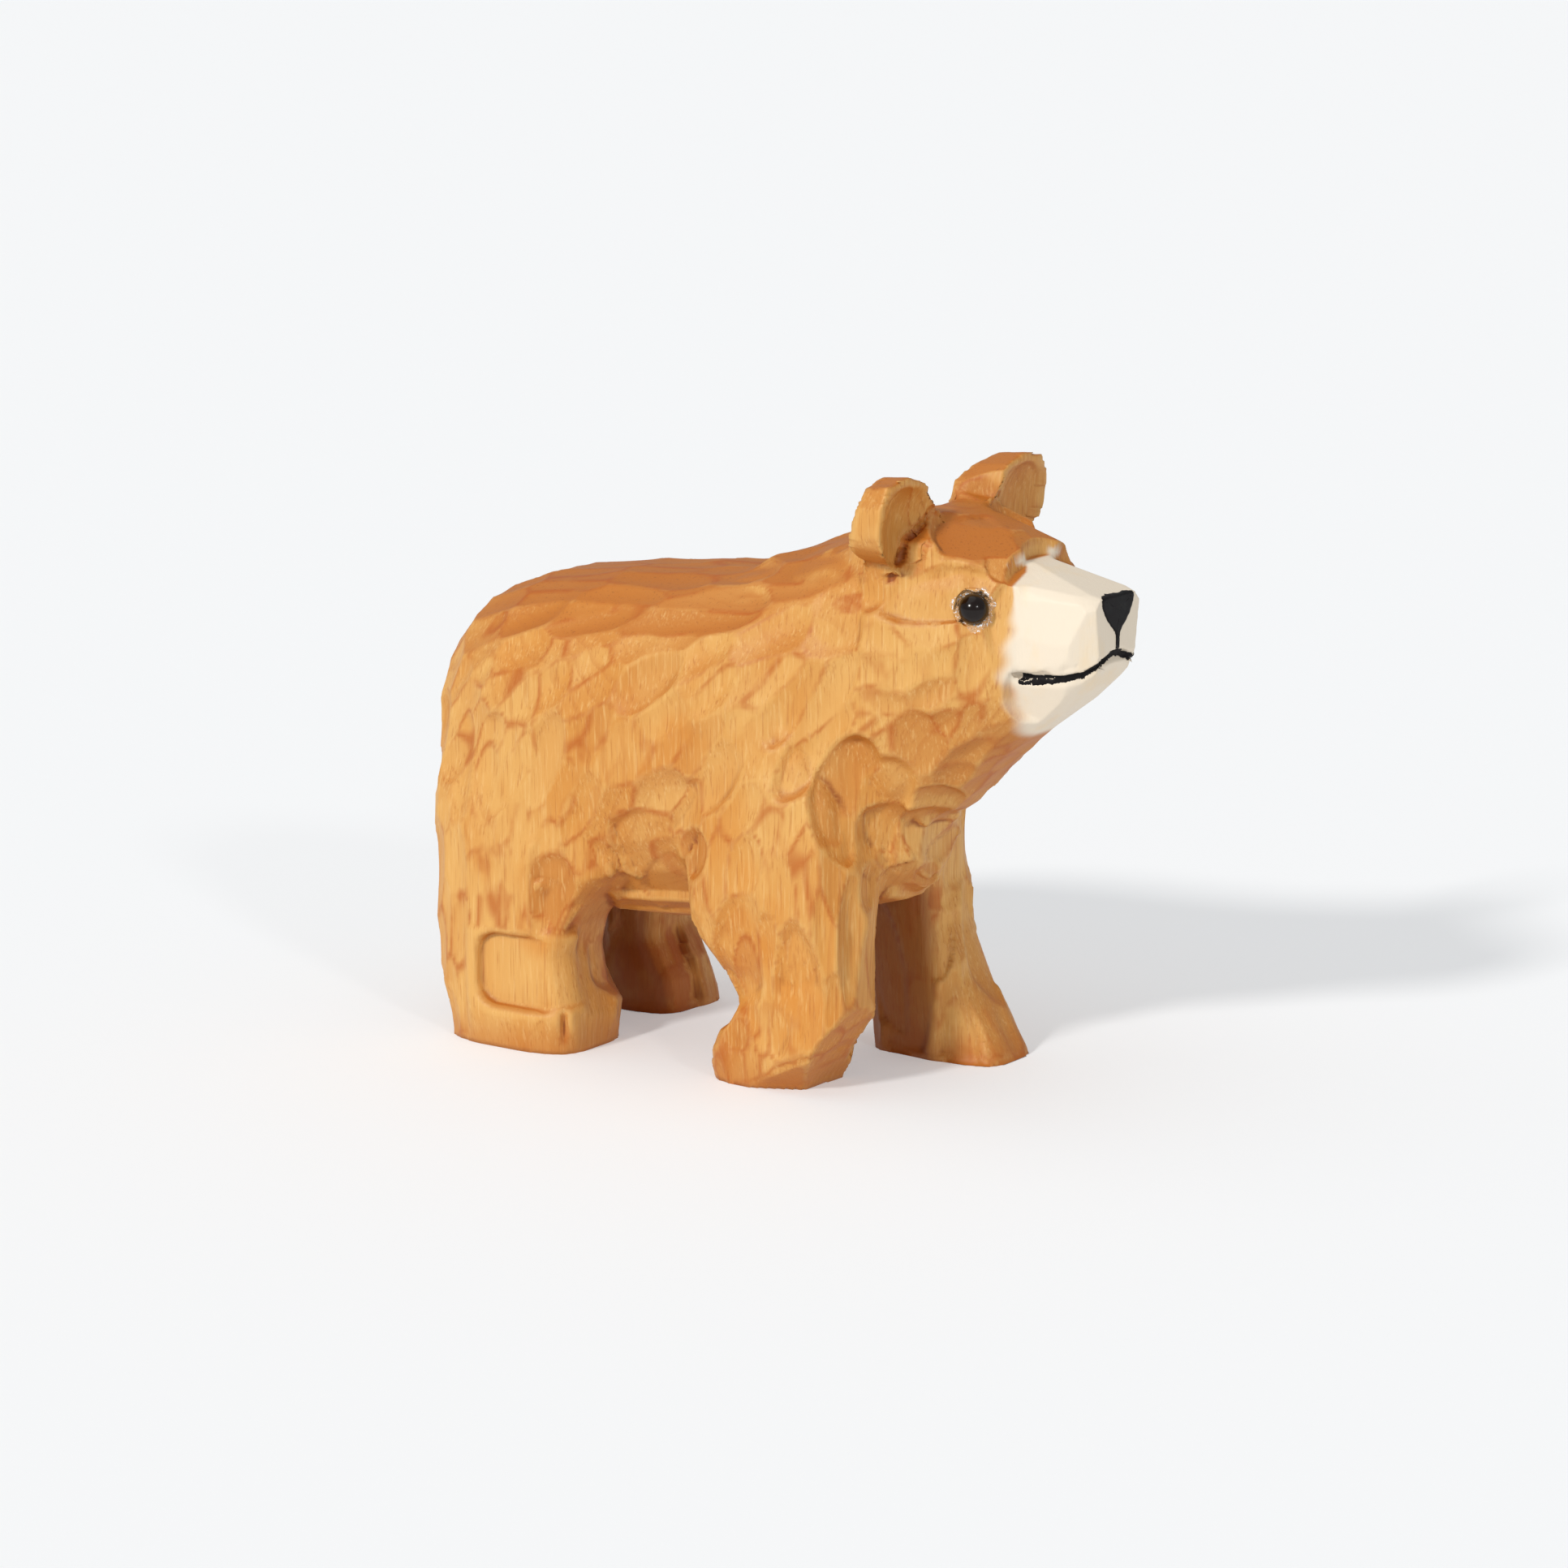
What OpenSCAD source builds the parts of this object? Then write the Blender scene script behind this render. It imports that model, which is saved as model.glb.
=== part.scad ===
// Carved wooden bear: a one-block limewood carving with two glued-in black glass eyes,
// a pale wash on the muzzle and black paint on the nose and mouth.
// The bear faces +X, stands on z = 0, and its left side is +Y.

/* [Carving] */
// Length from rump to nose
bear_length = 79.6; // [76:0.2:84]
// Width across the feet
bear_width = 33; // [31:0.5:35]
// Height from the soles to the ear tips
bear_height = 63.5; // [60:0.5:67]
// Sides of each carved cross-section
ring_sides = 24; // [20:4:32]

/* [Eyes] */
// Diameter of a glass eye bead
eye_d = 3; // [2.6:0.1:3.4]
// How far the bead stands out of the wood
eye_proud = 1.4; // [1:0.1:1.5]
// Diameter of the eye's wire stem
stem_d = 0.8; // [0.6:0.1:1]
// Length of the wire stem behind the bead
stem_length = 4; // [3:0.5:5]
// Width of the ring of clear glue around a bead
glue_width = 0.6; // [0.4:0.1:0.8]

/* [Paint] */
// Thickness of a coat of paint
paint_t = 0.15; // [0.1:0.05:0.25]
// Width of the painted nose
nose_width = 5.6; // [5:0.1:6.2]
// Height of the painted nose
nose_height = 4.4; // [4:0.1:4.6]
// Depth of the mouth cut
mouth_depth = 0.6; // [0.4:0.1:0.8]

/* [Hidden] */

// The carving's own sizes before it is fitted to the driving dimensions.
drawn = [79.6, 33, 63.5];
fit_scale = [bear_length / drawn.x, bear_width / drawn.y, bear_height / drawn.z];

// Torso cross-sections: [x, half width, underside z, back z, squareness, narrowing below].
torso_rows = [
    [-40.0,  4.4, 24.0, 34.6, 2.2, 0.0],
    [-39.0,  7.2, 20.0, 38.8, 2.3, 0.0],
    [-37.0, 10.4, 15.0, 42.8, 2.4, 0.0],
    [-33.5, 13.2, 13.0, 46.2, 2.5, 0.0],
    [-28.0, 15.0, 13.4, 48.4, 2.6, 0.0],
    [-20.0, 15.6, 13.6, 49.9, 2.7, 0.1],
    [-12.0, 15.6, 13.8, 50.7, 2.7, 0.2],
    [ -5.0, 15.4, 14.4, 51.3, 2.7, 0.2],
    [  2.0, 15.2, 16.2, 53.4, 2.5, 0.1],
    [  8.0, 14.2, 18.0, 54.6, 2.5, 0.1],
    [ 12.5, 12.6, 18.0, 50.0, 2.4, 0.1],
    [ 16.0, 10.0, 19.0, 44.0, 2.3, 0.1],
    [ 19.0,  5.6, 21.0, 36.0, 2.2, 0.1],
];

// Neck, head and muzzle cross-sections, in the same form.
head_rows = [
    [  4.0, 13.4, 22.0, 54.0, 2.5, 0.1],
    [ 10.0, 13.2, 23.0, 56.4, 2.6, 0.2],
    [ 15.0, 12.6, 24.0, 58.2, 2.7, 0.2],
    [ 19.0, 12.0, 26.2, 59.2, 2.8, 0.2],
    [ 23.0, 11.0, 29.6, 59.3, 2.9, 0.2],
    [ 27.0,  9.6, 34.0, 58.6, 3.0, 0.2],
    [ 30.0,  8.2, 36.6, 56.8, 3.0, 0.2],
    [ 32.4,  6.7, 38.4, 54.8, 3.1, 0.1],
    [ 35.6,  6.1, 40.8, 53.6, 3.2, 0.1],
    [ 38.2,  5.5, 43.2, 52.9, 3.2, 0.1],
    [ 39.6,  4.5, 44.6, 52.5, 3.2, 0.1],
];

// Leg cross-sections: [z, rear x, front x, outer |y|, inner |y|].
front_right_rows = [
    [ 0.0, -1.2, 14.6, 13.4, 4.0],
    [ 3.5, -1.8, 15.2, 14.0, 4.0],
    [ 5.5, -0.8, 15.6, 14.1, 4.0],
    [ 7.2,  1.4, 15.9, 14.0, 4.0],
    [ 9.0,  2.0, 16.0, 13.8, 4.0],
    [11.0,  1.2, 16.2, 14.0, 3.9],
    [14.0, -1.6, 16.4, 14.6, 3.8],
    [17.0, -3.4, 16.6, 15.0, 3.4],
    [22.0, -4.0, 16.6, 15.2, 2.0],
    [30.0, -3.0, 15.4, 15.2, 1.0],
    [38.0, -1.0, 12.0, 14.2, 1.0],
    [43.0,  1.0,  9.0, 12.4, 1.0],
];
front_left_rows = [
    [ 0.0,  5.4, 21.8, 16.5, 5.6],
    [ 4.0,  5.2, 19.8, 16.5, 5.4],
    [ 9.0,  4.2, 17.6, 16.2, 5.0],
    [14.0,  1.4, 15.8, 15.8, 4.4],
    [18.0, -3.0, 15.2, 15.6, 3.6],
    [24.0, -4.0, 15.4, 15.2, 1.5],
    [30.0, -3.0, 14.8, 15.0, 1.0],
    [38.0, -1.0, 12.0, 14.2, 1.0],
    [43.0,  1.0,  9.0, 12.4, 1.0],
];
hind_right_rows = [
    [ 0.0, -34.2, -17.0, 15.4, 2.6],
    [ 4.2, -34.9, -16.4, 15.8, 2.6],
    [ 5.0, -35.0, -17.4, 15.8, 2.6],
    [10.0, -35.4, -18.4, 15.7, 2.6],
    [13.0, -35.6, -17.6, 15.7, 2.6],
    [16.0, -35.8, -15.4, 15.8, 2.0],
    [19.0, -36.2, -12.4, 15.8, 1.5],
    [25.0, -36.6, -12.0, 15.6, 1.0],
    [31.0, -35.6, -15.0, 14.6, 1.0],
    [36.0, -32.0, -18.0, 12.0, 1.0],
];
hind_left_rows = [
    [ 0.0, -34.2, -17.6, 16.5, 3.8],
    [ 3.6, -34.9, -18.4, 16.4, 3.8],
    [ 8.0, -35.2, -20.6, 16.2, 3.6],
    [13.0, -35.6, -20.2, 16.0, 3.2],
    [17.0, -36.0, -15.4, 15.8, 2.4],
    [20.0, -36.4, -12.4, 15.8, 1.5],
    [25.0, -36.6, -12.0, 15.6, 1.0],
    [31.0, -35.6, -15.0, 14.6, 1.0],
    [36.0, -32.0, -18.0, 12.0, 1.0],
];
leg_squareness = 3.4;

// Outline of an ear from the front, as [|y|, z], starting at its inner end.
ear_outline = [
    [ 2.0, 58.6], [ 4.8, 60.8], [ 7.6, 62.6], [10.6, 63.5], [12.8, 62.9],
    [14.0, 60.8], [14.0, 58.0], [12.8, 55.4], [10.6, 53.0], [ 5.0, 51.0],
];
ear_front_x = 21.8;
ear_rim_t = 3.6;

// Superellipse power that keeps the sign of its base.
function signed_power(value, power) = sign(value) * pow(abs(value), power);

// One ring of a superellipse, as [across, up] offsets from its centre.
function ring(half_across, half_up, squareness, narrowing = 0) = [
    for (i = [0:ring_sides - 1])
        let (a = 360 * (i + 0.5) / ring_sides,
             up = signed_power(sin(a), 2 / squareness))
            [half_across * signed_power(cos(a), 2 / squareness) * (1 + narrowing * min(0, up)),
             half_up * up]
];

// Rings that stand across X, from body rows. A positive inset moves the skin inwards.
function rings_along_x(rows, inset = 0) = [
    for (row = rows)
        let (middle = (row[2] + row[3]) / 2, half = (row[3] - row[2]) / 2)
            [for (p = ring(row[1] - inset, half - inset, row[4], row[5]))
                [row[0] - inset, p.x, middle + p.y]]
];

// Rings that lie across Z, from leg rows, for the side given as -1 (right) or 1 (left).
function rings_along_z(rows, side) = [
    for (row = rows)
        let (middle = [(row[1] + row[2]) / 2, side * (row[3] + row[4]) / 2])
            [for (p = ring((row[2] - row[1]) / 2, (row[3] - row[4]) / 2, leg_squareness))
                [middle.x + p.x, middle.y + p.y, row[0]]]
];

// A closed skin over a list of rings with the same number of points.
module skin(rings) {
    count = len(rings[0]);
    last = len(rings) - 1;
    sides = [
        for (r = [0:last - 1], i = [0:count - 1])
            let (a = r * count + i,
                 b = r * count + (i + 1) % count,
                 c = a + count,
                 d = b + count)
                each [[a, c, b], [b, c, d]]
    ];
    first_cap = [for (i = [0:count - 1]) i];
    last_cap = [for (i = [count - 1:-1:0]) last * count + i];
    polyhedron([for (r = rings) each r], concat([first_cap], sides, [last_cap]));
}

module torso() {
    skin(rings_along_x(torso_rows));
}

module head() {
    skin(rings_along_x(head_rows));
}

// A flat cut across a paw: everything beyond a plane that starts at a place on the sole,
// leans back by a tilt from level and is turned about Z.
module paw_cut(from, tilt, turn) {
    translate(from)
        rotate([0, -tilt, turn])
            translate([0, -20, -20])
                cube([40, 40, 20]);
}

module front_right_leg() {
    difference() {
        skin(rings_along_z(front_right_rows, -1));
        paw_cut([10.2, -8, 0], 57, -4);
        paw_cut([7.4, -11.9, 0], 48, -63);
        // Round scoop above the heel.
        translate([-1.6, -14.8, 6.4])
            sphere(r = 2.6, $fn = 20);
    }
}

// The outside of the right thigh is cut back above the foot, with a rounded rear end.
module thigh_panel() {
    corner = 2.6;
    low = 4.3;
    high = 12.5;
    translate([-28.4 + corner, -14.4, 0])
        rotate([90, 0, 0])
            linear_extrude(height = 4)
                hull() {
                    translate([0, low + corner])
                        circle(r = corner, $fn = 20);
                    translate([0, high - corner])
                        circle(r = corner, $fn = 20);
                    translate([20, low])
                        square([2, high - low]);
                }
}

// A shallow second panel above the first.
module knee_panel() {
    translate([-22.3, -15.1, 10])
        rotate([0, 8, 0])
            translate([0, -3, 0])
                cube([9, 3, 8.7]);
}

module hind_right_leg() {
    difference() {
        skin(rings_along_z(hind_right_rows, -1));
        thigh_panel();
        knee_panel();
        // Groove between the toes.
        translate([-20.6, -16.6, -1])
            cube([0.8, 1.7, 5.2]);
    }
}

// An ear: thin at its outer rim, thicker where it grows out of the head, hollowed in front.
module ear(side) {
    widest = 14.2;
    base_z = 56;
    back_ring = [for (p = ear_outline)
        [ear_front_x - ear_rim_t - 0.2 * (widest - p[0]) + 0.28 * (p[1] - base_z),
         side * (p[0] - 0.3), p[1] - 0.3]];
    front_ring = [for (p = ear_outline)
        [ear_front_x + 0.06 * (p[1] - base_z), side * p[0], p[1]]];
    difference() {
        skin(side < 0 ? [back_ring, front_ring] : [front_ring, back_ring]);
        ear_hollow(side);
    }
}

// The hollow in the front of an ear.
module ear_hollow(side) {
    translate([ear_front_x + 1.6, side * 9.2, 57.3])
        scale([0.56, 1, 1.1])
            sphere(r = 5.1, $fn = 28);
}

// The mouth cut seen from the side, as [x, z], from its corner forward along the top edge.
mouth_outline = [
    [31.45, 44.90], [33.05, 44.70], [36.25, 45.02], [37.85, 45.90], [42.00, 46.70],
    [42.00, 46.10], [38.05, 45.22], [36.45, 44.30], [33.25, 43.62], [31.90, 43.52],
];
// The nose seen from the front, as [y, z] in halves of its width and from its top down.
nose_outline = [
    [-0.86, 0.00], [0.86, 0.00], [1.00, -0.16], [0.80, -0.50], [0.30, -0.88], [0.09, -1.00],
    [0.07, -1.86], [-0.07, -1.86], [-0.09, -1.00], [-0.30, -0.88], [-0.80, -0.50], [-1.00, -0.16],
];
nose_top = 52.6;
wash_from = 30.6;
wash_lean = 14;

// The head's skin moved in by an inset, or out where it is negative.
module head_skin(inset) {
    skin(rings_along_x(head_rows, inset));
}

module mouth_block() {
    rotate([90, 0, 0])
        linear_extrude(height = 24, center = true)
            polygon(mouth_outline);
}

module nose_block() {
    translate([34, 0, nose_top])
        rotate([90, 0, 90])
            linear_extrude(height = 8)
                polygon([for (p = nose_outline) [p.x * nose_width / 2, p.y * nose_height]]);
}

module mouth_cut(depth) {
    difference() {
        mouth_block();
        head_skin(depth);
    }
}

// Everything in front of the slanting edge of the muzzle's wash.
module wash_block() {
    translate([wash_from, 0, 48])
        rotate([0, wash_lean, 0])
            translate([0, -15, -25])
                cube([30, 30, 50]);
}

// Moves children from an eye's own frame, whose +Z points out of the head, to the head.
eye_at = [28.4, 8.5, 50.8];
eye_turn = 64;
eye_tip = 84;

module at_eye(side) {
    translate([eye_at.x, side * eye_at.y, eye_at.z])
        rotate([0, eye_tip, side * eye_turn])
            translate([0, 0, eye_proud - eye_d / 2])
                children();
}

module eye_socket(side) {
    at_eye(side) {
        sphere(d = eye_d, $fn = 32);
        cylinder(h = eye_d, d = eye_d, $fn = 32);
        translate([0, 0, -eye_d / 2 - stem_length])
            cylinder(h = eye_d / 2 + stem_length, d = stem_d, $fn = 24);
    }
}

module carving() {
    difference() {
        union() {
            torso();
            head();
            front_right_leg();
            skin(rings_along_z(front_left_rows, 1));
            hind_right_leg();
            skin(rings_along_z(hind_left_rows, 1));
            ear(-1);
            ear(1);
        }
        mouth_cut(mouth_depth);
    }
}

// The carving as one closed skin.
module solid_carving() {
    resize([0, 0, 0])
        carving();
}

module carved_body() {
    color("burlywood")
        scale(fit_scale)
            difference() {
                solid_carving();
                eye_socket(-1);
                eye_socket(1);
            }
}

module muzzle_wash() {
    color("ivory")
        scale(fit_scale)
            resize([0, 0, 0])
                difference() {
                    intersection() {
                        head_skin(-paint_t);
                        wash_block();
                    }
                    head_skin(0);
                    mouth_block();
                    nose_block();
                }
}

module nose_paint() {
    color("black")
        scale(fit_scale)
            resize([0, 0, 0])
                difference() {
                    intersection() {
                        head_skin(-paint_t);
                        nose_block();
                    }
                    head_skin(0);
                    mouth_block();
                }
}

module mouth_paint() {
    color("dimgray")
        scale(fit_scale)
            resize([0, 0, 0])
                difference() {
                    intersection() {
                        head_skin(mouth_depth - paint_t);
                        mouth_block();
                    }
                    head_skin(mouth_depth);
                }
}

module eye_bead(side) {
    color("black")
        scale(fit_scale)
            at_eye(side)
                difference() {
                    sphere(d = eye_d, $fn = 32);
                    translate([0, 0, -eye_d])
                        cylinder(h = eye_d, d = stem_d, $fn = 24);
                }
}

module eye_wire(side) {
    color("silver")
        scale(fit_scale)
            at_eye(side)
                translate([0, 0, -eye_d / 2 - stem_length])
                    cylinder(h = eye_d / 2 + stem_length, d = stem_d, $fn = 24);
}

// A low ring of clear glue on the wood, around the bead.
module eye_glue(side) {
    color("aliceblue", 0.4)
        scale(fit_scale)
            difference() {
                at_eye(side)
                    translate([0, 0, -0.6])
                        cylinder(h = 1.0, r1 = eye_d / 2 + glue_width, r2 = eye_d / 2 + 0.1, $fn = 32);
                at_eye(side)
                    sphere(d = eye_d, $fn = 32);
                at_eye(side)
                    translate([0, 0, -eye_d])
                        cylinder(h = eye_d, d = eye_d, $fn = 32);
                head_skin(0);
            }
}

module eye_bead_right() {
    eye_bead(-1);
}

module eye_bead_left() {
    eye_bead(1);
}

module eye_wire_right() {
    eye_wire(-1);
}

module eye_wire_left() {
    eye_wire(1);
}

module eye_glue_right() {
    eye_glue(-1);
}

module eye_glue_left() {
    eye_glue(1);
}

carved_body();
muzzle_wash();
nose_paint();
mouth_paint();
eye_bead_right();
eye_bead_left();
eye_wire_right();
eye_wire_left();
eye_glue_right();
eye_glue_left();
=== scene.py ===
"""A hand-carved wooden bear with glass bead eyes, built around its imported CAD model."""

import math

import bmesh
import bpy
import numpy as np
from mathutils import Matrix, Vector
from mathutils.bvhtree import BVHTree


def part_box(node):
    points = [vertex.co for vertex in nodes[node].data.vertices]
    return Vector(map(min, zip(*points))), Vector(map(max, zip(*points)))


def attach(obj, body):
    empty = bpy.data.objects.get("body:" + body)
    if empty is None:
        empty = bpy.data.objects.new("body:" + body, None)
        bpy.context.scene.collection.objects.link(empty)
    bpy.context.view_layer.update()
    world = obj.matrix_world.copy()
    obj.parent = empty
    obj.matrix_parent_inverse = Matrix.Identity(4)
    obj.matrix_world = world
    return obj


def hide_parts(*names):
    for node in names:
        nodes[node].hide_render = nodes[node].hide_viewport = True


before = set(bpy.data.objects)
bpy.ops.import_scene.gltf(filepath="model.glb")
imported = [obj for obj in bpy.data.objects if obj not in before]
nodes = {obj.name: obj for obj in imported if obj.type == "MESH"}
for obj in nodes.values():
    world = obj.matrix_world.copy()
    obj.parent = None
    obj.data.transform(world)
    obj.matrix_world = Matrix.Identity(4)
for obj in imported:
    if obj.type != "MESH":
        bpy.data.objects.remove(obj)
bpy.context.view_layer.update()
scene = bpy.context.scene
MM = 0.001
MM_IN_METRE = 1000
rng = np.random.default_rng(20)


# ---------------------------------------------------------------- camera, floor and light

CAMERA_AZIMUTH = math.radians(35)
CAMERA_ELEVATION = math.radians(12)
CAMERA_DISTANCE = 500 * MM
CAMERA_TARGET = Vector((0, 0, 28.5 * MM))
CAMERA_LENS = 111.8
CAMERA_SENSOR = 36

camera_data = bpy.data.cameras.new("camera")
camera_data.lens = CAMERA_LENS
camera_data.sensor_width = CAMERA_SENSOR
camera_data.clip_start = 0.01
camera_data.clip_end = 50
camera = bpy.data.objects.new("camera", camera_data)
scene.collection.objects.link(camera)
camera_back = Vector((
    math.sin(CAMERA_AZIMUTH) * math.cos(CAMERA_ELEVATION),
    -math.cos(CAMERA_AZIMUTH) * math.cos(CAMERA_ELEVATION),
    math.sin(CAMERA_ELEVATION),
))
camera.location = CAMERA_TARGET + camera_back * CAMERA_DISTANCE
camera.rotation_euler = (-camera_back).to_track_quat("-Z", "Y").to_euler()
scene.camera = camera


def add_sun(name, toward, strength, angle, colour):
    """A soft parallel light that shines from the direction given."""
    data = bpy.data.lights.new(name, "SUN")
    data.energy = strength
    data.angle = math.radians(angle)
    data.color = colour
    lamp = bpy.data.objects.new(name, data)
    lamp.rotation_euler = Vector(toward).to_track_quat("Z", "Y").to_euler()
    scene.collection.objects.link(lamp)


# The key light's direction follows the shadow in the photograph.
add_sun("key_light", (-0.074, -0.845, 0.53), 1.9, 7, (1.0, 0.98, 0.95))
add_sun("top_light", (-0.3, -0.15, 1.0), 0.45, 60, (1.0, 1.0, 1.0))
add_sun("fill_light", (0.95, -0.5, 0.5), 0.40, 6, (1.0, 0.99, 0.98))
scene.view_settings.view_transform = "Standard"

world = bpy.data.worlds.new("studio")
scene.world = world
world.use_nodes = True
background = world.node_tree.nodes["Background"]
background.inputs["Color"].default_value = (0.95, 0.975, 1.0, 1)
background.inputs["Strength"].default_value = 0.47


# ---------------------------------------------------------------- material helpers

class Nodes:
    """Short calls for building one material's node tree."""

    def __init__(self, name):
        self.material = bpy.data.materials.new(name)
        self.material.use_nodes = True
        self.tree = self.material.node_tree
        self.shader = self.tree.nodes["Principled BSDF"]

    def add(self, kind, **settings):
        node = self.tree.nodes.new(kind)
        for key, value in settings.items():
            setattr(node, key, value)
        return node

    def link(self, source, target):
        self.tree.links.new(source, target)

    def set(self, name, value):
        self.shader.inputs[name].default_value = value

    def feed(self, node, index, value):
        """Links a socket, or sets a plain number or colour."""
        if isinstance(value, bpy.types.NodeSocket):
            self.link(value, node.inputs[index])
        else:
            node.inputs[index].default_value = value

    def attribute(self, name):
        return self.add("ShaderNodeAttribute", attribute_name=name).outputs["Fac"]

    def coords(self, scale):
        source = self.add("ShaderNodeTexCoord").outputs["Object"]
        mapping = self.add("ShaderNodeMapping")
        mapping.inputs["Scale"].default_value = scale
        self.link(source, mapping.inputs["Vector"])
        return mapping.outputs["Vector"]

    def noise(self, scale, detail=3, rough=0.55):
        """Noise over object space, whose scale is in waves per metre along each axis."""
        node = self.add("ShaderNodeTexNoise")
        node.inputs["Scale"].default_value = 1
        node.inputs["Detail"].default_value = detail
        node.inputs["Roughness"].default_value = rough
        self.link(self.coords(scale), node.inputs["Vector"])
        return node.outputs["Fac"]

    def math(self, operation, a, b=0.0):
        node = self.add("ShaderNodeMath", operation=operation)
        self.feed(node, 0, a)
        self.feed(node, 1, b)
        return node.outputs[0]

    def span(self, value, low, high, to_low=0.0, to_high=1.0):
        """Value mapped smoothly from low..high to to_low..to_high, held at both ends."""
        node = self.add("ShaderNodeMapRange", interpolation_type="SMOOTHSTEP")
        self.feed(node, 0, value)
        for index, number in enumerate((low, high, to_low, to_high), start=1):
            node.inputs[index].default_value = number
        return node.outputs[0]

    def mix(self, factor, a, b, blend="MIX"):
        node = self.add("ShaderNodeMix", data_type="RGBA", blend_type=blend, clamp_factor=True)
        self.feed(node, 0, factor)
        self.feed(node, 6, a)
        self.feed(node, 7, b)
        return node.outputs[2]

    def bump(self, height, distance, strength=1.0, normal=None):
        node = self.add("ShaderNodeBump")
        node.inputs["Strength"].default_value = strength
        node.inputs["Distance"].default_value = distance
        self.link(height, node.inputs["Height"])
        if normal is not None:
            self.link(normal, node.inputs["Normal"])
        return node.outputs["Normal"]


def rgb(red, green, blue):
    """A linear colour from display values of 0 to 255."""
    def linear(v):
        v /= 255
        return v / 12.92 if v <= 0.04045 else ((v + 0.055) / 1.055) ** 2.4
    return (linear(red), linear(green), linear(blue), 1)


# ---------------------------------------------------------------- floor

FLOOR_HALF_SIZE = 8


def make_floor():
    mesh = bpy.data.meshes.new("floor")
    bm = bmesh.new()
    bmesh.ops.create_grid(bm, x_segments=8, y_segments=8, size=FLOOR_HALF_SIZE)
    bm.to_mesh(mesh)
    bm.free()
    floor = bpy.data.objects.new("floor", mesh)
    scene.collection.objects.link(floor)
    m = Nodes("floor_card")
    m.set("Base Color", (0.66, 0.665, 0.67, 1))
    m.set("Roughness", 0.8)
    m.set("Specular IOR Level", 0.1)
    m.set("Emission Color", (0.97, 0.985, 1.0, 1))
    m.set("Emission Strength", 0.30)
    mesh.materials.append(m.material)


make_floor()


# ---------------------------------------------------------------- the carving's mesh

VOXEL = 0.40 * MM
EYES = {}
for side_name in ("right", "left"):
    low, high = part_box("eye_bead_" + side_name)
    wire_low, wire_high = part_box("eye_wire_" + side_name)
    centre = (Vector(low) + Vector(high)) / 2
    EYES[side_name] = (centre, (centre - (Vector(wire_low) + Vector(wire_high)) / 2).normalized())
EYE_R = 1.5 * MM
PLUG_R = EYE_R * 1.05
PLUG_DEPTH = 6.2 * MM
PLUG_SUNK = 0.6 * MM


def add_plug(bm, centre, axis):
    """Closes an eye's deep socket and wire hole with a short rod, so that only its mouth is open."""
    turn = axis.to_track_quat("Z", "Y").to_matrix().to_4x4()
    place = Matrix.Translation(centre - axis * (PLUG_DEPTH / 2 + PLUG_SUNK)) @ turn
    bmesh.ops.create_cone(bm, cap_ends=True, segments=32, radius1=PLUG_R,
                          radius2=PLUG_R, depth=PLUG_DEPTH, matrix=place)


def new_object(name, bm):
    mesh = bpy.data.meshes.new(name)
    bm.to_mesh(mesh)
    bm.free()
    obj = bpy.data.objects.new(name, mesh)
    scene.collection.objects.link(obj)
    return obj


def remeshed_body():
    """The CAD carving as one even mesh of small quads: (vertices in mm, faces)."""
    source = nodes["carved_body"]
    bm = bmesh.new()
    bm.from_mesh(source.data)
    bm.transform(source.matrix_world)
    holder = new_object("body_source", bm)
    plugs = bmesh.new()
    for centre, axis in EYES.values():
        add_plug(plugs, centre, axis)
    plugs = new_object("plugs", plugs)
    join = holder.modifiers.new("plug", "BOOLEAN")
    join.operation = "UNION"
    join.object = plugs
    join.solver = "EXACT"
    remesh = holder.modifiers.new("remesh", "REMESH")
    remesh.mode = "VOXEL"
    remesh.voxel_size = VOXEL
    remesh.adaptivity = 0
    evaluated = holder.evaluated_get(bpy.context.evaluated_depsgraph_get())
    result = bpy.data.meshes.new_from_object(evaluated)
    for obj in (holder, plugs):
        bpy.data.objects.remove(obj)
    verts = np.empty(len(result.vertices) * 3)
    result.vertices.foreach_get("co", verts)
    faces = [tuple(p.vertices) for p in result.polygons]
    bpy.data.meshes.remove(result)
    return verts.reshape(-1, 3) * MM_IN_METRE, faces


def refined(verts, faces):
    """Halves the quads of the muzzle, the ears and the eyes, where the detail is finest."""
    x, y, z = verts.T
    fine = ((x > 29.3) & (z > 37)) | ((z > 54.5) & (np.abs(y) > 4.5) & (x > 13) & (x < 25))
    fine |= (x > 25.5) & (np.abs(y) > 5) & (z > 46.5) & (z < 55)
    bm = bmesh.new()
    made = [bm.verts.new(v) for v in verts]
    for f in faces:
        bm.faces.new([made[i] for i in f])
    bm.verts.index_update()
    inside = [f for f in bm.faces if all(fine[v.index] for v in f.verts)]
    edges = {e for f in inside for e in f.edges}
    bmesh.ops.subdivide_edges(bm, edges=list(edges), cuts=1, use_grid_fill=True)
    bmesh.ops.triangulate(bm, faces=[f for f in bm.faces if len(f.verts) > 4])
    bm.verts.index_update()
    new_verts = np.array([v.co for v in bm.verts])
    new_faces = [tuple(v.index for v in f.verts) for f in bm.faces]
    bm.free()
    return new_verts, new_faces


# The level in mm of wood that no stroke has reached, and of the stroke that would come next.
UNCUT_LEVEL = 0.15
UNCUT_SECOND = 0.60


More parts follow.
